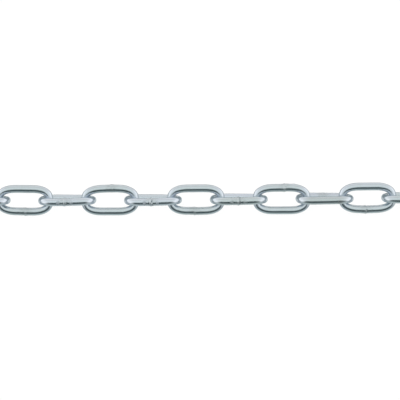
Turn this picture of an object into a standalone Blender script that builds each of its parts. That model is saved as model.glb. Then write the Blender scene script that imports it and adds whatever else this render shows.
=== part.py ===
"""A straight length of welded steel chain.

The chain is a row of equal oval links of round wire. Each link passes through the one before it and
stands a quarter turn on from it. The chain lies on level ground (z = 0) along X, and its links lean
45 degrees to one side and the other in turn, so that each one rests along its lower side.
Each link is parented to the link before it, with its origin on the axis it swings about: the middle
of that link's end bar. A swing is a turn about the Y axis of the link before.
"""

from math import cos, pi, radians, sin

import bpy

# Driving dimensions, in metres
WIRE_DIAMETER = 0.0052
PITCH = 0.0285  # inside length of a link
LINK_WIDTH = 0.0203  # outside
BEARING_GAP = 0.0003  # between one link's end and the next, where they bear on each other
LINK_COUNT = 21
STRAIGHT_SIDE = 0.0095  # flat stretch in the middle of each side, on which a link rests
END_SQUARENESS = 2.55  # exponent of the rounded ends: 2 is an ellipse, more is blunter
LEAN = radians(45)  # of the first link
QUARTER_TURN = radians(90)  # from each link to the next

# Fineness of the mesh
WIRE_FACETS = 16
BEVEL_RESOLUTION = WIRE_FACETS // 2 - 2
END_POINTS = 14  # points along each rounded end, an even number so that its tip is a flat

# Sizes that follow from these
WIRE_RADIUS = WIRE_DIAMETER / 2
FACET_CORNER_RADIUS = WIRE_RADIUS / cos(pi / WIRE_FACETS)  # the flats are WIRE_DIAMETER apart
BAR_TO_BAR = PITCH + BEARING_GAP + WIRE_DIAMETER  # between the centres of a link's two end bars
BAR_HALF_WIDTH = (LINK_WIDTH - WIRE_DIAMETER) / 2
END_DEPTH = (BAR_TO_BAR - STRAIGHT_SIDE) / 2
SWING_RADIUS = WIRE_DIAMETER + BEARING_GAP  # from the bar a link hangs on to its own end bar
LINK_MIDDLE = BAR_TO_BAR / 2 - SWING_RADIUS  # from a link's origin to its middle
AXIS_HEIGHT = BAR_HALF_WIDTH * sin(LEAN) + WIRE_RADIUS


def clear_scene():
    """Take out whatever the scene holds."""
    for thing in list(bpy.data.objects):
        bpy.data.objects.remove(thing, do_unlink=True)


def zinc_plated_steel():
    """Bright zinc plate over drawn steel wire."""
    material = bpy.data.materials.new("bright_zinc_plate")
    material.use_nodes = True
    shader = material.node_tree.nodes["Principled BSDF"]
    shader.inputs["Base Color"].default_value = (0.62, 0.65, 0.66, 1.0)
    shader.inputs["Metallic"].default_value = 1.0
    shader.inputs["Roughness"].default_value = 0.28
    return material


def rounded_power(value, exponent):
    """A power that keeps the sign of its base."""
    return abs(value) ** exponent * (1 if value >= 0 else -1)


def end_points(side):
    """One rounded end of the wire's centre line; side is 1 for the far end and -1 for the near one."""
    points = []
    for step in range(END_POINTS):
        angle = side * pi / 2 * (2 * step / (END_POINTS - 1) - 1)
        along = STRAIGHT_SIDE / 2 + END_DEPTH * rounded_power(cos(angle), 2 / END_SQUARENESS)
        across = BAR_HALF_WIDTH * rounded_power(sin(angle), 2 / END_SQUARENESS)
        points.append((LINK_MIDDLE + side * along, across, 0.0))
    return points


def link_curve(material):
    """The closed ring of wire that every link shares, flat in its own XY plane."""
    curve = bpy.data.curves.new("oval_link", "CURVE")
    curve.dimensions = "3D"
    curve.twist_mode = "Z_UP"
    curve.bevel_depth = FACET_CORNER_RADIUS
    curve.bevel_resolution = BEVEL_RESOLUTION
    outline = end_points(1) + end_points(-1)
    spline = curve.splines.new("POLY")
    spline.points.add(len(outline) - 1)
    for point, place in zip(spline.points, outline):
        point.co = (*place, 1.0)
        point.tilt = pi / WIRE_FACETS  # turns a flat, not a corner, to the inside and to the ground
    spline.use_cyclic_u = True
    spline.use_smooth = True
    curve.materials.append(material)
    return curve


def add_chain(curve, collection):
    """The links in a row, each one swinging on the end bar of the link before it."""
    parent = None
    for number in range(1, LINK_COUNT + 1):
        link = bpy.data.objects.new(f"link_{number:02d}", curve)
        collection.objects.link(link)
        if parent is None:
            middle = -(LINK_COUNT - 1) / 2 * PITCH
            link.location = (middle - LINK_MIDDLE, 0.0, AXIS_HEIGHT)
            link.rotation_euler.x = LEAN
        else:
            link.parent = parent
            link.location = (PITCH, 0.0, 0.0)
            link.rotation_euler.x = QUARTER_TURN
        parent = link


def main():
    clear_scene()
    collection = bpy.data.collections.new("welded_chain")
    bpy.context.scene.collection.children.link(collection)
    add_chain(link_curve(zinc_plated_steel()), collection)


main()
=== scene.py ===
import math
import random
from typing import NamedTuple

import bpy
from mathutils import Euler, Matrix, Vector


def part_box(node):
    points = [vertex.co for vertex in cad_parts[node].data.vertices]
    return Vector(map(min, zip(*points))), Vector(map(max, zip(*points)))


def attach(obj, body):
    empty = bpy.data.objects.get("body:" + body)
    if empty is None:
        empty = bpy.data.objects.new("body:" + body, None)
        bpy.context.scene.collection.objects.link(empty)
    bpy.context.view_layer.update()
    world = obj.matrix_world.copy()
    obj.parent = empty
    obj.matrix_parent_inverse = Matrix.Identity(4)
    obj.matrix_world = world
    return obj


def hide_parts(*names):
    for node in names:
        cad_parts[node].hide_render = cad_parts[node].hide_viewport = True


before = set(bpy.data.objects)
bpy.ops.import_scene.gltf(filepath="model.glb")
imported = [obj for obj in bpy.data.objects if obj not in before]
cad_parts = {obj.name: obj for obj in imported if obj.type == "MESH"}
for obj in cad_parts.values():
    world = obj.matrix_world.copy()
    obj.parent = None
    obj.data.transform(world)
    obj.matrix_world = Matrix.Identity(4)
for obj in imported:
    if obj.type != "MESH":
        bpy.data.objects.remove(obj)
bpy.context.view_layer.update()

bl_info = {
    "name": "Welded Steel Chain",
    "version": (1, 0, 0),
    "blender": (4, 5, 0),
    "location": "View3D > Sidebar > Chain",
    "description": "Builds a straight length of zinc-plated, side-welded steel chain on a white studio floor",
    "category": "Object",
}

# The frame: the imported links, at rest
LINK_NODES = sorted(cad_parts)
LINK_BOXES = [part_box(node) for node in LINK_NODES]
LINK_MIDDLES = [(Vector(low) + Vector(high)) / 2 for low, high in LINK_BOXES]
PITCH = LINK_MIDDLES[1].x - LINK_MIDDLES[0].x
LEAN = math.radians(45)  # of the first link
LINK_HEIGHT = LINK_BOXES[0][1][2] - LINK_BOXES[0][0][2]  # of one leaning link

# The wire
WIRE_DIAMETER = 0.0052
END_THINNING = 0.06  # of the wire, where it is bent round the ends
BEARING_GAP = 0.0003
LINK_WIDTH = (LINK_HEIGHT - WIRE_DIAMETER) / math.sin(LEAN) + WIRE_DIAMETER
BAR_TO_BAR = PITCH + WIRE_DIAMETER * (1 - END_THINNING) + BEARING_GAP  # between the two end bars' centres


class Weld(NamedTuple):
    """The weld of one link. Lengths are in mm."""

    side: int  # of the link: 1 is the +Y side of its own frame, -1 the other
    offset: float  # along from the middle
    bow: float  # how far the side bows out to it
    miss: float  # how far the side's two halves miss each other
    harshness: float  # how rough and how deeply pressed it is
    flash: float  # how much metal is squeezed out
    bead: float = 4.5  # how far beyond it a bead of spatter sits


class Lie(NamedTuple):
    """How one link lies out of line."""

    roll: float = 0.0  # about the chain, in degrees
    turn: float = 0.0  # on the floor, in degrees
    shift: float = 0.0  # to the back, in mm


# The welds of the links in the photo, guessed where it hides them. The other links have theirs by chance
SEEN_WELDS = {
    "link_06": Weld(1, 0.9, 0.0, 0.1, 0.3, 0.3),
    "link_07": Weld(-1, 0.6, 0.1, 0.1, 0.25, 0.5),
    "link_08": Weld(-1, -1.1, 0.0, 0.1, 1.0, 1.0),
    "link_09": Weld(1, 1.3, 0.4, 0.0, 0.2, 0.2),
    "link_10": Weld(-1, -1.2, 0.0, 0.25, 1.0, 1.3),
    "link_11": Weld(-1, -0.9, 0.1, 0.15, 0.3, 0.9),
    "link_12": Weld(-1, -0.4, 0.0, 0.1, 0.9, 1.2),
    "link_13": Weld(1, 1.7, 0.15, 0.15, 0.25, 1.2, 6.4),
    "link_14": Weld(1, -0.4, 0.1, 0.1, 0.3, 0.3),
    "link_15": Weld(-1, -1.3, 0.32, 0.0, 0.25, 0.6),
    "link_16": Weld(1, 0.8, 0.0, 0.1, 0.3, 0.3),
}
# How those links lie. One without figures lies true
SEEN_LIES = {
    "link_06": Lie(roll=-1.2, shift=0.3),
    "link_07": Lie(turn=-1.2, shift=0.35),
    "link_08": Lie(roll=-0.5, shift=0.2),
    "link_09": Lie(),
    "link_10": Lie(shift=-0.04),
    "link_11": Lie(shift=-0.13),
    "link_12": Lie(roll=-0.3, shift=0.1),
    "link_13": Lie(),
    "link_14": Lie(roll=0.5, shift=0.15),
    "link_15": Lie(shift=0.4),
    "link_16": Lie(roll=-1.5, shift=0.3),
}
# How lavender their film is, from 0 to 1: on the side with the weld, and on the other
SEEN_TINTS = {
    "link_07": (0.2, 0.2), "link_08": (0.45, 0.4), "link_09": (0.2, 0.2), "link_10": (0.5, 0.4),
    "link_11": (0.15, 0.2), "link_12": (0.0, 0.6), "link_13": (0.2, 0.2), "link_14": (0.65, 0.1),
    "link_15": (0.2, 0.35),
}
DULLED = {"link_14": 0.25}  # how dull a link's two sides are, from 0 to 1
# Where something has rubbed the plate: the place in the link's own frame, in mm
RUBBED = {"link_14": (9.5, -9.9, -0.9)}
NOWHERE = (1000.0, 0.0, 0.0)  # the same for a link that isn't rubbed
CHANCE_SEED = 7

MM = 0.001  # in metres

# How far out from its middle each thing reaches, in metres: whole up to the first distance, and gone at
# the second
BURR_REACH = (0.0010, 0.0050)
FLASH_REACH = (0.0001, 0.0008)
SEAM_REACH = (0.0001, 0.0005)
BEAD_REACH = (0.0003, 0.0012)
JAW_REACH = (0.0006, 0.0014)
WELD_FINISH_REACH = (0.0010, 0.0055)
RUB_REACH = (0.0008, 0.0026)
# What is at a link's two ends, by the distance from its middle: whole beyond the first, gone within the
# second
THIN_END = (0.015, 0.008)
TINTED_END = (0.017, 0.009)

# Lengths are in metres here too
BOW_REACH = 0.012  # from the weld to where a bowed side is straight again
MISS_LENGTH = 0.0003  # over which one half of a side steps to the other
SEAM_FROM_FLASH = 0.0008  # along the wire
FLASH_WANDER = 0.0018  # how far the flash strays along the wire
FLASH_WAVE = 0.003  # length over which it strays
SEAM_STRETCH = 0.0022  # length of each open stretch of the seam
SEAM_OPENS = (0.45, 0.6)  # noise from which it starts to open, and is open
SEAM_NOISE_SHIFT = (0.23, 0.0, 0.0)  # so that it opens in places of its own
LUMP_LEVEL = 0.48  # noise above which the burr stands proud
WAVE_LENGTH = 0.005  # of the drawn and bent wire
TINT_BLEND = 0.005  # to each side of the link's middle, over which one side's tint gives way to the other's
END_TINT = 0.75  # how lavender the film tends to be at the ends
END_TINT_SHARE = 0.65  # how near it comes to that

# Points along the wire
END_STEPS = 110  # round each end
WELD_SIDE_STEPS = 80
PLAIN_SIDE_STEPS = 20


def linear(hex_colour):
    """An sRGB hex colour as the linear RGBA that Blender's sockets take."""
    channels = [int(hex_colour[i:i + 2], 16) / 255 for i in (0, 2, 4)]
    return (*((c / 12.92 if c <= 0.04045 else ((c + 0.055) / 1.055) ** 2.4) for c in channels), 1.0)


def add(tree, kind, inputs=(), **settings):
    """A node with its settings, and its inputs by name or in order.

    Each input is a value, a socket to link, or a node, which stands for its first output in use.
    """
    node = tree.nodes.new(kind)
    for name, value in settings.items():
        setattr(node, name, value)
    for key, value in inputs.items() if isinstance(inputs, dict) else enumerate(inputs):
        if isinstance(value, bpy.types.Node):
            value = next(socket for socket in value.outputs if socket.enabled)
        if isinstance(value, bpy.types.NodeSocket):
            tree.links.new(value, node.inputs[key])
        else:
            node.inputs[key].default_value = value
    return node


def shown_colour(name, description, hex_colour):
    """A colour property with its default."""
    return bpy.props.FloatVectorProperty(
        name=name, description=description, subtype="COLOR", size=4, min=0, max=1, default=linear(hex_colour)
    )


def length(name, description, default):
    """A length property in metres."""
    return bpy.props.FloatProperty(
        name=name, description=description, unit="LENGTH", precision=5, min=0, default=default
    )


class LinkSettings(bpy.types.PropertyGroup):
    """Sizes of one link."""

    wire_diameter: length("Wire Diameter", "Diameter of the round wire", WIRE_DIAMETER)
    bar_to_bar: length("Bar to Bar", "Between the centres of the two end bars", BAR_TO_BAR)
    link_width: length("Link Width", "Width of a link, outside", LINK_WIDTH)
    end_thinning: bpy.props.FloatProperty(
        name="End Thinning", description="How much thinner the wire is round the ends", subtype="FACTOR",
        min=0, max=1, default=END_THINNING
    )
    straight_side: length("Straight Side", "Straight stretch in the middle of each side", 0.0095)
    end_squareness: bpy.props.FloatProperty(
        name="End Squareness", description="Exponent of the rounded ends: 2 is an ellipse",
        min=2, default=2.55
    )
    twist: bpy.props.FloatProperty(
        name="Twist", description="Slope of each side out of the link's plane", default=-0.016
    )
    weld_swell: bpy.props.FloatProperty(
        name="Weld Swell", description="How much thicker the wire is at its weld", subtype="FACTOR",
        min=0, max=1, default=0.03
    )
    weld_length: length("Weld Length", "Half the length of the swollen stretch", 0.0020)
    burr_height: length("Burr Height", "Height of the rough burr left by the weld", 0.0005)
    burr_size: length("Burr Size", "Size of the lumps in the burr", 0.0016)
    flash_height: length("Flash Height", "Height of the sharp ridge squeezed out of the weld", 0.0002)
    seam_depth: length("Seam Depth", "Depth of the seam beside that ridge", 0.0003)
    spatter_height: length("Spatter Height", "Height of the bead of spatter beside the weld", 0.0003)
    jaw_distance: length("Jaw Distance", "From the weld to the marks of the welding jaws", 0.0043)
    jaw_depth: length("Jaw Depth", "Depth of the marks of the welding jaws", 0.00018)
    waviness: length("Waviness", "Unevenness of the drawn and bent wire", 0.00008)
    facets: bpy.props.IntProperty(name="Facets", description="Points round the wire", min=8, default=36)


class FinishSettings(bpy.types.PropertyGroup):
    """Colours and gloss of the plating."""

    zinc_green: shown_colour("Green-grey Zinc", "Zinc where its passive film looks green-grey", "CAD3D4")
    zinc_blue: shown_colour("Blue-grey Zinc", "Zinc where its passive film looks lavender-blue", "D9DFEB")
    weld_grey: shown_colour("Weld Grey", "Duller zinc over the weld", "B9C0C1")
    roughness: bpy.props.FloatProperty(
        name="Roughness", description="Roughness of the bright plate", subtype="FACTOR",
        min=0, max=1, default=0.2
    )
    weld_roughness: bpy.props.FloatProperty(
        name="Weld Roughness", description="Roughness over the weld", subtype="FACTOR",
        min=0, max=1, default=0.3
    )
    jaw_roughness: bpy.props.FloatProperty(
        name="Jaw Roughness", description="Roughness of the jaw marks", subtype="FACTOR",
        min=0, max=1, default=0.5
    )
    rubbed_grey: shown_colour("Rubbed Grey", "Steel-grey where the plate is rubbed", "8E8C87")


class StageSettings(bpy.types.PropertyGroup):
    """The studio round the chain."""

    floor: shown_colour("Floor", "Colour of the floor", "F8F9F9")
    floor_glow: bpy.props.FloatProperty(
        name="Floor Glow", description="Light that comes up through the white floor", min=0, default=0.55
    )
    floor_clearness: bpy.props.FloatProperty(
        name="Floor Clearness", description="How clearly things below the floor show through it",
        subtype="FACTOR", min=0, max=1, default=0.94
    )
    tent_strength: bpy.props.FloatProperty(
        name="Tent Strength", description="Brightness of white in the light tent", min=0, default=1.25
    )
    lens: bpy.props.FloatProperty(name="Lens", description="Focal length in millimetres", min=1, default=135)


def rounded_power(value, exponent):
    """A power that keeps the sign of its base."""
    return math.copysign(abs(value) ** exponent, value)


def end_angles(steps):
    """Angles round half a link, from one straight side to the other."""
    return [math.pi * (step / steps - 0.5) for step in range(steps + 1)]


def weld_lift(from_weld, bow, miss):
    """How far a side moves out near its weld: two straight halves that meet in a bow, and may miss."""
    ridge = max(0.0, 1 - abs(from_weld) / BOW_REACH)
    step = math.tanh(from_weld / MISS_LENGTH) * ridge
    return bow * ridge + miss / 2 * step


def centre_line(settings, weld):
    """The wire's centre line, in the link's own XY plane but for its twist, with its weld on the +Y side."""
    offset, bow, miss = weld.offset * MM, weld.bow * MM, weld.miss * MM
    half_width = (settings.link_width - settings.wire_diameter) / 2
    straight = settings.straight_side / 2
    depth = settings.bar_to_bar / 2 - straight
    power = 2 / settings.end_squareness
    points = []
    for side in (1, -1):
        for angle in end_angles(END_STEPS):
            x = side * (straight + depth * rounded_power(math.cos(angle), power))
            points.append((x, side * half_width * rounded_power(math.sin(angle), power)))
        # the straight side after this end, with its points closer together on the side with the weld
        steps = WELD_SIDE_STEPS if side > 0 else PLAIN_SIDE_STEPS
        points += [(side * straight * (1 - 2 * step / steps), side * half_width) for step in range(1, steps)]
    line = []
    for x, y in points:
        if y > 0:
            y += weld_lift(x - offset, bow, miss)
        line.append((x, y, settings.twist * x * y / half_width))
    return line


def link_guide(name, settings, weld):
    """A curve object along one link's centre line, for the tree to give its wire."""
    curve = bpy.data.curves.new(name, "CURVE")
    curve.dimensions = "3D"
    spline = curve.splines.new("POLY")
    line = centre_line(settings, weld)
    spline.points.add(len(line) - 1)
    for point, place in zip(spline.points, line):
        point.co = (*place, 1.0)
    spline.use_cyclic_u = True
    guide = bpy.data.objects.new(name, curve)
    bpy.context.scene.collection.objects.link(guide)
    return guide


WIRE_INPUTS = [
    ("Facets", "NodeSocketInt"),
    ("Wire Diameter", "NodeSocketFloat"),
    ("End Thinning", "NodeSocketFloat"),
    ("Weld Offset", "NodeSocketFloat"),
    ("Weld Swell", "NodeSocketFloat"),
    ("Weld Length", "NodeSocketFloat"),
    ("Burr Height", "NodeSocketFloat"),
    ("Burr Size", "NodeSocketFloat"),
    ("Flash Height", "NodeSocketFloat"),
    ("Seam Depth", "NodeSocketFloat"),
    ("Spatter Height", "NodeSocketFloat"),
    ("Spatter Place", "NodeSocketVector"),
    ("Jaw Distance", "NodeSocketFloat"),
    ("Jaw Depth", "NodeSocketFloat"),
    ("Harshness", "NodeSocketFloat"),
    ("Waviness", "NodeSocketFloat"),
    ("Rubbed Place", "NodeSocketVector"),
    ("Dullness", "NodeSocketFloat"),
    ("Weld Side Tint", "NodeSocketFloat"),
    ("Plain Side Tint", "NodeSocketFloat"),
    ("Seed", "NodeSocketFloat"),
    ("Place", "NodeSocketVector"),
    ("Lean", "NodeSocketRotation"),
    ("Finish", "NodeSocketMaterial"),
]


def fading(tree, distance, reach):
    """1 up to the first distance of a reach, falling smoothly to 0 at the second.

    Where the second is the smaller, it is 1 from the first outward.
    """
    return add(tree, "ShaderNodeMapRange", (distance, *reach, 1.0, 0.0), interpolation_type="SMOOTHSTEP")


def round_wire(tree, given, spot, from_weld, from_middle):
    """The wire round the centre line, swollen at the weld and thinner round the ends.

    The length along it and the place in its round section are kept for the finish.
    """
    line = add(tree, "GeometryNodeSetCurveNormal", {"Curve": given["Centre Line"]}, mode="Z_UP")
    along = add(tree, "GeometryNodeSplineParameter").outputs["Length"]
    line = add(tree, "GeometryNodeStoreNamedAttribute", {"Geometry": line, "Name": "along", "Value": along},
               data_type="FLOAT", domain="POINT")
    radius = add(tree, "ShaderNodeMath", (given["Wire Diameter"], 2.0), operation="DIVIDE")
    ring = add(tree, "GeometryNodeCurvePrimitiveCircle", {"Resolution": given["Facets"], "Radius": radius})
    ring = add(tree, "GeometryNodeStoreNamedAttribute", {"Geometry": ring, "Name": "section", "Value": spot},
               data_type="FLOAT_VECTOR", domain="POINT")
    swollen = fading(tree, from_weld, (0.0, given["Weld Length"]))
    scale = add(tree, "ShaderNodeMath", (swollen, given["Weld Swell"], 1.0), operation="MULTIPLY_ADD")
    thinned = fading(tree, from_middle, THIN_END)
    thinned = add(tree, "ShaderNodeMath", (thinned, given["End Thinning"]), operation="MULTIPLY")
    scale = add(tree, "ShaderNodeMath", (scale, thinned), operation="SUBTRACT")
    return add(tree, "GeometryNodeCurveToMesh", {"Curve": line, "Profile Curve": ring, "Scale": scale})


def burr(tree, given, grain, from_weld):
    """The height of the burr, a rough band of lumps round the weld."""
    scale = add(tree, "ShaderNodeMath", (1.0, given["Burr Size"]), operation="DIVIDE")
    lumps = add(tree, "ShaderNodeTexNoise", {"Vector": grain, "Scale": scale, "Detail": 3.0})
    lumps = add(tree, "ShaderNodeMath", (lumps, LUMP_LEVEL), operation="SUBTRACT")
    band = fading(tree, from_weld, BURR_REACH)
    lumps = add(tree, "ShaderNodeMath", (lumps, band), operation="MULTIPLY")
    height = add(tree, "ShaderNodeMath", (given["Burr Height"], given["Harshness"]), operation="MULTIPLY")
    return add(tree, "ShaderNodeMath", (lumps, height), operation="MULTIPLY")


def flash_and_seam(tree, given, grain, past_weld):
    """The height of the flash, a sharp ridge squeezed out of the weld, and the depth of the seam beside it.

    The flash wanders along the wire, the seam with it, and the seam opens only here and there.
    """
    wander = add(tree, "ShaderNodeTexNoise", {"Vector": grain, "Scale": 1 / FLASH_WAVE, "Detail": 1.0})
    wander = add(tree, "ShaderNodeMath", (wander, 0.5), operation="SUBTRACT")
    past_flash = add(tree, "ShaderNodeMath", (wander, FLASH_WANDER, past_weld), operation="MULTIPLY_ADD")
    from_flash = add(tree, "ShaderNodeMath", (past_flash,), operation="ABSOLUTE")
    ridge = fading(tree, from_flash, FLASH_REACH)
    flash = add(tree, "ShaderNodeMath", (ridge, given["Flash Height"]), operation="MULTIPLY")

    past_seam = add(tree, "ShaderNodeMath", (past_flash, SEAM_FROM_FLASH), operation="SUBTRACT")
    from_seam = add(tree, "ShaderNodeMath", (past_seam,), operation="ABSOLUTE")
    elsewhere = add(tree, "ShaderNodeVectorMath", (grain, SEAM_NOISE_SHIFT), operation="ADD")
    opened = add(tree, "ShaderNodeTexNoise", {"Vector": elsewhere, "Scale": 1 / SEAM_STRETCH, "Detail": 0.0})
    opened = add(tree, "ShaderNodeMapRange", (opened, *SEAM_OPENS))
    groove = fading(tree, from_seam, SEAM_REACH)
    groove = add(tree, "ShaderNodeMath", (groove, opened), operation="MULTIPLY")
    seam = add(tree, "ShaderNodeMath", (groove, given["Seam Depth"]), operation="MULTIPLY")
    return flash, seam


def spatter(tree, given, spot):
    """The height of a bead of spatter on the outer face, beyond the weld."""
    from_bead = add(tree, "ShaderNodeVectorMath", (spot, given["Spatter Place"]), operation="DISTANCE")
    bead = fading(tree, from_bead, BEAD_REACH)
    return add(tree, "ShaderNodeMath", (bead, given["Spatter Height"]), operation="MULTIPLY")


def jaw_marks(tree, given, outward, from_weld):
    """Where the welding jaws pressed, to each side of the weld, and how deep.

    They pressed flats into the outer and the broad faces of the wire.
    """
    past_jaw = add(tree, "ShaderNodeMath", (from_weld, given["Jaw Distance"]), operation="SUBTRACT")
    from_jaw = add(tree, "ShaderNodeMath", (past_jaw,), operation="ABSOLUTE")
    jaws = fading(tree, from_jaw, JAW_REACH)
    jaws = add(tree, "ShaderNodeMath", (jaws, given["Harshness"]), operation="MULTIPLY")
    facing = add(tree, "ShaderNodeSeparateXYZ", (outward,)).outputs
    broad = add(tree, "ShaderNodeMath", (facing["Z"],), operation="ABSOLUTE")
    facing = add(tree, "ShaderNodeMath", (facing["Y"], broad), operation="MAXIMUM")
    turned_away = add(tree, "ShaderNodeMath", (facing, 1.0), operation="SUBTRACT")
    radius = add(tree, "ShaderNodeMath", (given["Wire Diameter"], 2.0), operation="DIVIDE")
    proud = add(tree, "ShaderNodeMath", (turned_away, radius, given["Jaw Depth"]), operation="MULTIPLY_ADD")
    proud = add(tree, "ShaderNodeMath", (proud, 0.0), operation="MAXIMUM")
    return jaws, add(tree, "ShaderNodeMath", (proud, jaws), operation="MULTIPLY")


def wire_waves(tree, given, grain):
    """The slow waves that drawing and bending leave in the wire."""
    waves = add(tree, "ShaderNodeTexNoise", {"Vector": grain, "Scale": 1 / WAVE_LENGTH, "Detail": 1.0})
    waves = add(tree, "ShaderNodeMath", (waves, 0.5), operation="SUBTRACT")
    return add(tree, "ShaderNodeMath", (waves, given["Waviness"]), operation="MULTIPLY")


def dull_places(tree, given, spot, ends):
    """Where the plate has lost its shine: a rubbed place, and the two sides of a dulled link."""
    from_rub = add(tree, "ShaderNodeVectorMath", (spot, given["Rubbed Place"]), operation="DISTANCE")
    rubbed = fading(tree, from_rub, RUB_REACH)
    sides = add(tree, "ShaderNodeMath", (1.0, ends), operation="SUBTRACT")
    dull = add(tree, "ShaderNodeMath", (sides, given["Dullness"]), operation="MULTIPLY")
    return add(tree, "ShaderNodeMath", (rubbed, dull), operation="MAXIMUM")


def film_tint(tree, given, across, ends):
    """How lavender the film is: each side's own tint, and nearer to the ends' tint round the ends."""
    tints = given["Plain Side Tint"], given["Weld Side Tint"]
    tint = add(tree, "ShaderNodeMapRange", (across, -TINT_BLEND, TINT_BLEND, *tints))
    to_end = add(tree, "ShaderNodeMath", (END_TINT, tint), operation="SUBTRACT")
    to_end = add(tree, "ShaderNodeMath", (to_end, END_TINT_SHARE), operation="MULTIPLY")
    return add(tree, "ShaderNodeMath", (ends, to_end, tint), operation="MULTIPLY_ADD")


def wire_tree():
    """Geometry Nodes that give a link's centre line its round wire, and the wire the marks of its weld."""
    tree = bpy.data.node_groups.new("Side-welded wire link", "GeometryNodeTree")
    face = tree.interface
    face.new_socket("Centre Line", in_out="INPUT", socket_type="NodeSocketGeometry")
    for name, kind in WIRE_INPUTS:
        face.new_socket(name, in_out="INPUT", socket_type=kind)
    face.new_socket("Link", in_out="OUTPUT", socket_type="NodeSocketGeometry")
    given = add(tree, "NodeGroupInput").outputs

    # Where a point is: from the link's middle, and along the wire from the weld, with a metre added on the
    # side without one
    spot = add(tree, "GeometryNodeInputPosition")
    place = add(tree, "ShaderNodeSeparateXYZ", (spot,)).outputs
    from_middle = add(tree, "ShaderNodeMath", (place["X"],), operation="ABSOLUTE")
    past_weld = add(tree, "ShaderNodeMath", (place["X"], given["Weld Offset"]), operation="SUBTRACT")
    plain_side = add(tree, "ShaderNodeMath", (place["Y"], 0.0), operation="LESS_THAN")
    past_weld = add(tree, "ShaderNodeMath", (past_weld, plain_side), operation="ADD")
    from_weld = add(tree, "ShaderNodeMath", (past_weld,), operation="ABSOLUTE")

    # The wire, moved in or out by its marks
    link = round_wire(tree, given, spot, from_weld, from_middle)
    grain = add(tree, "ShaderNodeVectorMath", (spot, given["Seed"]), operation="ADD")
    outward = add(tree, "GeometryNodeInputNormal")
    flash, seam = flash_and_seam(tree, given, grain, past_weld)
    jaws, pressed = jaw_marks(tree, given, outward, from_weld)
    relief = burr(tree, given, grain, from_weld)
    for height in (flash, spatter(tree, given, spot), wire_waves(tree, given, grain)):
        relief = add(tree, "ShaderNodeMath", (relief, height), operation="ADD")
    for depth in (seam, pressed):
        relief = add(tree, "ShaderNodeMath", (relief, depth), operation="SUBTRACT")
    move = add(tree, "ShaderNodeVectorMath", {0: outward, "Scale": relief}, operation="SCALE")
    link = add(tree, "GeometryNodeSetPosition", {"Geometry": link, "Offset": move})

    # What the finish needs to know
    ends = fading(tree, from_middle, TINTED_END)
    kept = {
        "weld": fading(tree, from_weld, WELD_FINISH_REACH),
        "jaws": add(tree, "ShaderNodeMath", (jaws, given["Harshness"]), operation="MULTIPLY"),
        "rubbed": dull_places(tree, given, spot, ends),
        "tint": film_tint(tree, given, place["Y"], ends),
    }
    for name, value in kept.items():
        link = add(tree, "GeometryNodeStoreNamedAttribute", {"Geometry": link, "Name": name, "Value": value},
                   data_type="FLOAT", domain="POINT")

    link = add(tree, "GeometryNodeSetShadeSmooth", {"Geometry": link})
    link = add(tree, "GeometryNodeTransform",
               {"Geometry": link, "Translation": given["Place"], "Rotation": given["Lean"]})
    link = add(tree, "GeometryNodeRealizeInstances", {"Geometry": link})
    link = add(tree, "GeometryNodeSetMaterial", {"Geometry": link, "Material": given["Finish"]})
    add(tree, "NodeGroupOutput", (link,))
    return tree


def set_inputs(modifier, values):
    """Set a Geometry Nodes modifier's inputs, given by their names."""
    identifiers = {item.name: item.identifier for item in modifier.node_group.interface.items_tree
                   if item.in_out == "INPUT"}
    for name, value in values.items():
        modifier[identifiers[name]] = value


def plain_mesh(guide, name):
    """The guide's evaluated wire as a mesh object of its own, set down on the floor. The guide goes."""
    graph = bpy.context.evaluated_depsgraph_get()
    mesh = bpy.data.meshes.new_from_object(guide.evaluated_get(graph))
    mesh.name = name
    mesh.transform(Matrix.Translation((0.0, 0.0, -min(vertex.co.z for vertex in mesh.vertices))))
    piece = bpy.data.objects.new(name, mesh)
    bpy.context.scene.collection.objects.link(piece)
    curve = guide.data
    bpy.data.objects.remove(guide, do_unlink=True)
    bpy.data.curves.remove(curve)
    return piece


# Sizes of the finish's patterns, in metres
MARK_WIDTH, MARK_LENGTH = 0.0002, 0.012  # wider than real drawing marks, so that they show
CLOUD_SIZE = 0.004
PIT_SIZE = 0.0008
NICK_SIZE = 0.0012
# Heights that their bumps stand for
MARK_HEIGHT = 0.00002
NICK_DEPTH = 0.00003
PIT_DEPTH = 0.00006
NICK_LEVELS = (0.66, 0.76)  # noise from which a nick starts, and is whole
FILM_CLOUDINESS = 0.6  # how much the film's tint varies from cloud to cloud
GLOSS_CLOUDINESS = 0.12  # how much the roughness does


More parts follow.
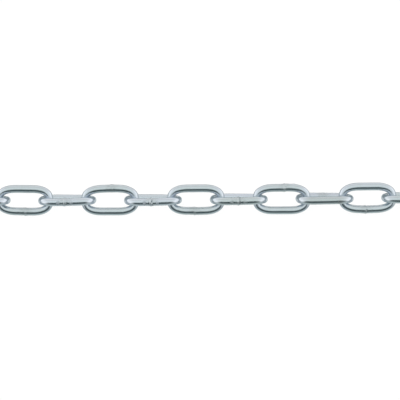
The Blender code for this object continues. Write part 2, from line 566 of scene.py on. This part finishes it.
def bright_zinc(finish):
    """Bright electroplated zinc with a clear passive film, over drawn steel wire.

    It mirrors the room softly, with a faint green-grey to lavender tint from its film, fine marks
    along the wire, and a duller, pitted patch over the weld.
    """
    material = bpy.data.materials.new("bright zinc plate on drawn wire")
    material.use_nodes = True
    tree = material.node_tree
    shader = tree.nodes["Principled BSDF"]
    kept = {name: add(tree, "ShaderNodeAttribute", attribute_name=name).outputs
            for name in ("weld", "jaws", "rubbed", "tint", "along", "section")}
    spot = add(tree, "ShaderNodeTexCoord").outputs["Object"]

    # Drawing marks along the wire
    along = add(tree, "ShaderNodeMath", (kept["along"]["Fac"], 1 / MARK_LENGTH), operation="MULTIPLY")
    along = add(tree, "ShaderNodeCombineXYZ", {"Z": along})
    across = add(tree, "ShaderNodeVectorMath",
                 {0: kept["section"]["Vector"], "Scale": 1 / MARK_WIDTH}, operation="SCALE")
    marks_at = add(tree, "ShaderNodeVectorMath", (across, along), operation="ADD")
    marks = add(tree, "ShaderNodeTexNoise", {"Vector": marks_at, "Scale": 1.0, "Detail": 2.0})
    # Clouds in the plating
    clouds = add(tree, "ShaderNodeTexNoise", {"Vector": spot, "Scale": 1 / CLOUD_SIZE, "Detail": 3.0})
    # Pits and lumps on the weld, which also break up a rubbed place
    pits = add(tree, "ShaderNodeTexNoise", {"Vector": spot, "Scale": 1 / PIT_SIZE, "Detail": 3.0})
    pitted = add(tree, "ShaderNodeMath", (kept["weld"]["Fac"], pits), operation="MULTIPLY")
    rubbed = add(tree, "ShaderNodeMath", (kept["rubbed"]["Fac"], pits), operation="MULTIPLY")
    # Nicks from tumbling against other links
    nicks = add(tree, "ShaderNodeTexNoise", {"Vector": spot, "Scale": 1 / NICK_SIZE, "Detail": 1.0})
    nicks = add(tree, "ShaderNodeMapRange", (nicks, *NICK_LEVELS))

    tint = kept["tint"]["Fac"]
    cloud = add(tree, "ShaderNodeMath", (clouds, 0.5), operation="SUBTRACT")
    film = add(tree, "ShaderNodeMath", (cloud, FILM_CLOUDINESS, tint), operation="MULTIPLY_ADD")
    colour = finish.zinc_green
    for share, other in ((film, finish.zinc_blue), (pitted, finish.weld_grey), (rubbed, finish.rubbed_grey)):
        colour = add(tree, "ShaderNodeMix", {"Factor": share, "A": colour, "B": other}, data_type="RGBA")
    tree.links.new(colour.outputs["Result"], shader.inputs["Base Color"])

    least = finish.roughness - GLOSS_CLOUDINESS / 2
    gloss = add(tree, "ShaderNodeMath", (clouds, GLOSS_CLOUDINESS, least), operation="MULTIPLY_ADD")
    scuffed = add(tree, "ShaderNodeMath", (kept["jaws"]["Fac"], rubbed), operation="MAXIMUM")
    for share, roughness in ((pitted, finish.weld_roughness), (scuffed, finish.jaw_roughness)):
        rise = roughness - finish.roughness
        gloss = add(tree, "ShaderNodeMath", (share, rise, gloss), operation="MULTIPLY_ADD")
    tree.links.new(gloss.outputs[0], shader.inputs["Roughness"])
    shader.inputs["Metallic"].default_value = 1.0

    bump = add(tree, "ShaderNodeBump", {"Height": marks, "Distance": MARK_HEIGHT})
    bump = add(tree, "ShaderNodeBump", {"Height": nicks, "Distance": NICK_DEPTH, "Normal": bump}, invert=True)
    bump = add(tree, "ShaderNodeBump", {"Height": pitted, "Distance": PIT_DEPTH, "Normal": bump})
    tree.links.new(bump.outputs[0], shader.inputs["Normal"])
    return material


def chance_weld(dice):
    """A weld like those of the links in the photo."""
    return Weld(
        side=dice.choice((1, -1)), offset=dice.uniform(-1.5, 1.5), bow=dice.uniform(0, 0.1),
        miss=dice.uniform(-0.2, 0.2), harshness=dice.uniform(0.25, 0.5), flash=dice.uniform(0.3, 0.7)
    )


def chance_lie(dice):
    """A link that lies nearly true."""
    return Lie(roll=dice.uniform(-0.8, 0.8), turn=dice.uniform(-0.5, 0.5), shift=dice.uniform(-0.1, 0.1))


def chance_tints(dice):
    """How lavender the film is on a link's two sides."""
    return dice.uniform(0.0, 0.6), dice.uniform(0.0, 0.6)


class CHAIN_OT_links(bpy.types.Operator):
    """Make every link of the chain from round wire, with its side weld"""

    bl_idname = "chain.links"
    bl_label = "Links"

    def execute(self, context):
        sizes = context.scene.chain_link
        tree = wire_tree()
        zinc = bright_zinc(context.scene.chain_finish)
        dice = random.Random(CHANCE_SEED)
        for index, node in enumerate(LINK_NODES):
            weld = SEEN_WELDS.get(node, chance_weld(dice))
            lie = SEEN_LIES.get(node, chance_lie(dice))
            tints = SEEN_TINTS.get(node, chance_tints(dice))
            lean = (LEAN if index % 2 == 0 else -LEAN) + math.radians(lie.roll)
            weld_turn = 0 if weld.side > 0 else math.pi
            bead = Vector(((weld.offset + weld.bead) * MM, sizes.link_width / 2, 0.0))
            guide = link_guide(f"guide_{index + 1:02d}", sizes, weld)
            modifier = guide.modifiers.new("wire", "NODES")
            modifier.node_group = tree
            set_inputs(modifier, {
                "Facets": sizes.facets,
                "Wire Diameter": sizes.wire_diameter,
                "End Thinning": sizes.end_thinning,
                "Weld Offset": weld.offset * MM,
                "Weld Swell": sizes.weld_swell,
                "Weld Length": sizes.weld_length,
                "Burr Height": sizes.burr_height,
                "Burr Size": sizes.burr_size,
                "Flash Height": sizes.flash_height * weld.flash,
                "Seam Depth": sizes.seam_depth * weld.flash * (1 + weld.harshness),
                "Spatter Height": sizes.spatter_height * max(weld.harshness, weld.flash / 2),
                "Spatter Place": bead,
                "Jaw Distance": sizes.jaw_distance,
                "Jaw Depth": sizes.jaw_depth,
                "Harshness": weld.harshness,
                "Waviness": sizes.waviness,
                "Rubbed Place": Vector(RUBBED.get(node, NOWHERE)) * MM,
                "Dullness": DULLED.get(node, 0.0),
                "Weld Side Tint": tints[0],
                "Plain Side Tint": tints[1],
                "Seed": dice.uniform(0, 1),
                "Place": LINK_MIDDLES[index] + Vector((0.0, lie.shift * MM, 0.0)),
                "Lean": Euler((lean + weld_turn, 0.0, math.radians(lie.turn))),
                "Finish": zinc,
            })
            piece = plain_mesh(guide, f"zinc_{node}")
            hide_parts(node)
            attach(piece, node)
        return {"FINISHED"}


FLOOR_RADIUS = 12.0


def make_floor(settings):
    """A white floor, lit from below as well, so that no shadow on it is deep.

    It hardly veils what hangs below it, so that a swung chain is seen whole from above, and it takes no
    light from that either.
    """
    bpy.ops.mesh.primitive_circle_add(vertices=96, radius=FLOOR_RADIUS, fill_type="NGON", location=(0, 0, 0))
    floor = bpy.context.object
    floor.name = "studio_floor"
    material = bpy.data.materials.new("hazy clear acrylic over a light table")
    material.use_nodes = True
    tree = material.node_tree
    shader = tree.nodes["Principled BSDF"]
    shader.inputs["Base Color"].default_value = settings.floor
    shader.inputs["Roughness"].default_value = 0.9
    shader.inputs["Specular IOR Level"].default_value = 0.0
    shader.inputs["Emission Color"].default_value = settings.floor
    shader.inputs["Emission Strength"].default_value = settings.floor_glow
    from_camera = add(tree, "ShaderNodeLightPath").outputs["Is Camera Ray"]
    from_below = add(tree, "ShaderNodeNewGeometry").outputs["Backfacing"]
    seen = add(tree, "ShaderNodeMath", (from_camera, settings.floor_clearness), operation="MULTIPLY")
    through = add(tree, "ShaderNodeMath", (seen, from_below), operation="MAXIMUM")
    clear = add(tree, "ShaderNodeBsdfTransparent")
    mixed = add(tree, "ShaderNodeMixShader", (through, shader, clear))
    tree.links.new(mixed.outputs[0], tree.nodes["Material Output"].inputs["Surface"])
    floor.data.materials.append(material)
    floor.visible_glossy = False


# What a wire that runs along X mirrors of the light tent, by the angle in degrees from the horizon in
# front, up over the top and down behind: the dark opening that the camera looks in through, then cloth
TENT_ARCH = (
    (-180, "D3D2D2"), (-174, "C6C8C8"), (-166, "788285"), (-150, "788285"), (-138, "C2C8C8"), (-90, "B5BEBE"),
    (-36, "B5BEBE"), (-10, "485456"), (31, "485456"), (45, "D7DCDC"), (60, "DEE4E4"), (88, "DFE4E4"),
    (102, "D5D7D7"), (134, "D6D6D7"), (152, "E7E7E8"), (180, "E2E2E3"),
)
# What the links' ends mirror to the left and right, by the same angle
TENT_SIDES = (
    (-180, "D8DBDB"), (-172, "C9CCCC"), (-162, "8C9395"), (-148, "8C9395"), (-138, "C9CCCC"), (-86, "C9CCCC"),
    (-72, "8C9395"), (-36, "8C9395"), (-20, "CED1D1"), (4, "FFFFFF"), (60, "FFFFFF"), (90, "E8EAEA"),
    (120, "FFFFFF"), (170, "FFFFFF"), (180, "E8EAEA"),
)
BESIDE = (30, 59)  # degrees sideways over which the arch gives way to the sides


def colour_scale(tree, angle, stops):
    """Colours by angle, blending from each stop to the next."""
    low, high = stops[0][0], stops[-1][0]
    along_ramp = add(tree, "ShaderNodeMapRange", (angle, math.radians(low), math.radians(high)))
    ramp = add(tree, "ShaderNodeValToRGB", (along_ramp,))
    elements = ramp.color_ramp.elements
    while len(elements) < len(stops):
        elements.new(0.5)
    for element, (degrees, colour) in zip(elements, stops):
        element.position = (degrees - low) / (high - low)
        element.color = linear(colour)
    return ramp


def light_tent(settings):
    """A world that the metal mirrors as a light tent with a dark opening in front, white to the camera."""
    world = bpy.data.worlds.new("light tent")
    world.use_nodes = True
    bpy.context.scene.world = world
    tree = world.node_tree
    tree.nodes.clear()
    way = add(tree, "ShaderNodeTexCoord").outputs["Generated"]
    way = add(tree, "ShaderNodeSeparateXYZ", (way,)).outputs
    ahead = add(tree, "ShaderNodeMath", (way["Y"], -1.0), operation="MULTIPLY")
    over = add(tree, "ShaderNodeMath", (way["Z"], ahead), operation="ARCTAN2")
    sideways = add(tree, "ShaderNodeMath", (way["X"],), operation="ABSOLUTE")
    sideways = add(tree, "ShaderNodeMath", (sideways,), operation="ARCSINE")
    arch = colour_scale(tree, over, TENT_ARCH)
    sides = colour_scale(tree, over, TENT_SIDES)
    low, high = (math.radians(degrees) for degrees in BESIDE)
    beside = add(tree, "ShaderNodeMapRange", (sideways, low, high), interpolation_type="SMOOTHSTEP")
    tent = add(tree, "ShaderNodeMix", {"Factor": beside, "A": arch, "B": sides}, data_type="RGBA")
    mirrored = add(tree, "ShaderNodeBackground", {"Color": tent, "Strength": settings.tent_strength})
    seen = add(tree, "ShaderNodeBackground", {"Color": linear("FFFFFF"), "Strength": 1.0})
    from_camera = add(tree, "ShaderNodeLightPath").outputs["Is Camera Ray"]
    mixed = add(tree, "ShaderNodeMixShader", (from_camera, mirrored, seen))
    add(tree, "ShaderNodeOutputWorld", {"Surface": mixed})


# The photo's view
PHOTO_PIXELS = 400
PITCH_IN_PIXELS = 42.87
PIXELS_PER_METRE = PITCH_IN_PIXELS / PITCH
VIEW_HEIGHT = math.radians(54.3)  # above the horizon
VIEW_ROLL = math.radians(-0.38)  # the chain climbs a little to the right
LINK_IN_PHOTO = 10  # the link in the middle of the photo, counted from 0
LINK_PIXEL = (195.9, 199.75)  # where its middle shows
NEAR_CLIP, FAR_CLIP = 0.05, 50  # of the distance to the chain


def make_camera(settings):
    """A long lens, looking down at the chain as the photograph does."""
    data = bpy.data.cameras.new("photo camera")
    data.lens = settings.lens
    camera = bpy.data.objects.new("photo_camera", data)
    bpy.context.scene.collection.objects.link(camera)
    bpy.context.scene.camera = camera
    camera.rotation_euler = (math.pi / 2 - VIEW_HEIGHT, 0.0, 0.0)
    camera.rotation_euler.rotate_axis("Z", VIEW_ROLL)
    axes = camera.rotation_euler.to_matrix()
    right, up, back = axes.col
    frame_width = PHOTO_PIXELS / PIXELS_PER_METRE
    distance = frame_width / 2 / math.tan(data.angle / 2)
    shift_right = (PHOTO_PIXELS / 2 - LINK_PIXEL[0]) / PIXELS_PER_METRE
    shift_up = (LINK_PIXEL[1] - PHOTO_PIXELS / 2) / PIXELS_PER_METRE
    aim = LINK_MIDDLES[LINK_IN_PHOTO] + right * shift_right + up * shift_up
    camera.location = aim + back * distance
    data.clip_start = distance * NEAR_CLIP
    data.clip_end = distance * FAR_CLIP


class CHAIN_OT_stage(bpy.types.Operator):
    """Make the floor, the soft light round it and the camera"""

    bl_idname = "chain.stage"
    bl_label = "Stage"

    def execute(self, context):
        settings = context.scene.chain_stage
        make_floor(settings)
        light_tent(settings)
        make_camera(settings)
        context.scene.view_settings.view_transform = "Standard"
        return {"FINISHED"}


class CHAIN_PT_panel(bpy.types.Panel):
    """The chain's steps, in order"""

    bl_idname = "CHAIN_PT_panel"
    bl_label = "Welded Steel Chain"
    bl_space_type = "VIEW_3D"
    bl_region_type = "UI"
    bl_category = "Chain"

    def draw(self, context):
        for settings in (context.scene.chain_link, context.scene.chain_finish, context.scene.chain_stage):
            column = self.layout.column()
            for name in settings.__annotations__:
                column.prop(settings, name)
        for operator in OPERATORS:
            self.layout.operator(operator.bl_idname)


SETTINGS = {"chain_link": LinkSettings, "chain_finish": FinishSettings, "chain_stage": StageSettings}
OPERATORS = (CHAIN_OT_links, CHAIN_OT_stage)


def register():
    """Register the classes, and put the settings on the scene."""
    for cls in (*SETTINGS.values(), *OPERATORS, CHAIN_PT_panel):
        bpy.utils.register_class(cls)
    for name, cls in SETTINGS.items():
        setattr(bpy.types.Scene, name, bpy.props.PointerProperty(type=cls))


def unregister():
    """Take off what register put on."""
    for name in SETTINGS:
        delattr(bpy.types.Scene, name)
    for cls in reversed((*SETTINGS.values(), *OPERATORS, CHAIN_PT_panel)):
        bpy.utils.unregister_class(cls)


def main():
    """Build the chain and its stage."""
    register()
    bpy.ops.chain.links()
    bpy.ops.chain.stage()


if __name__ == "__main__":
    main()
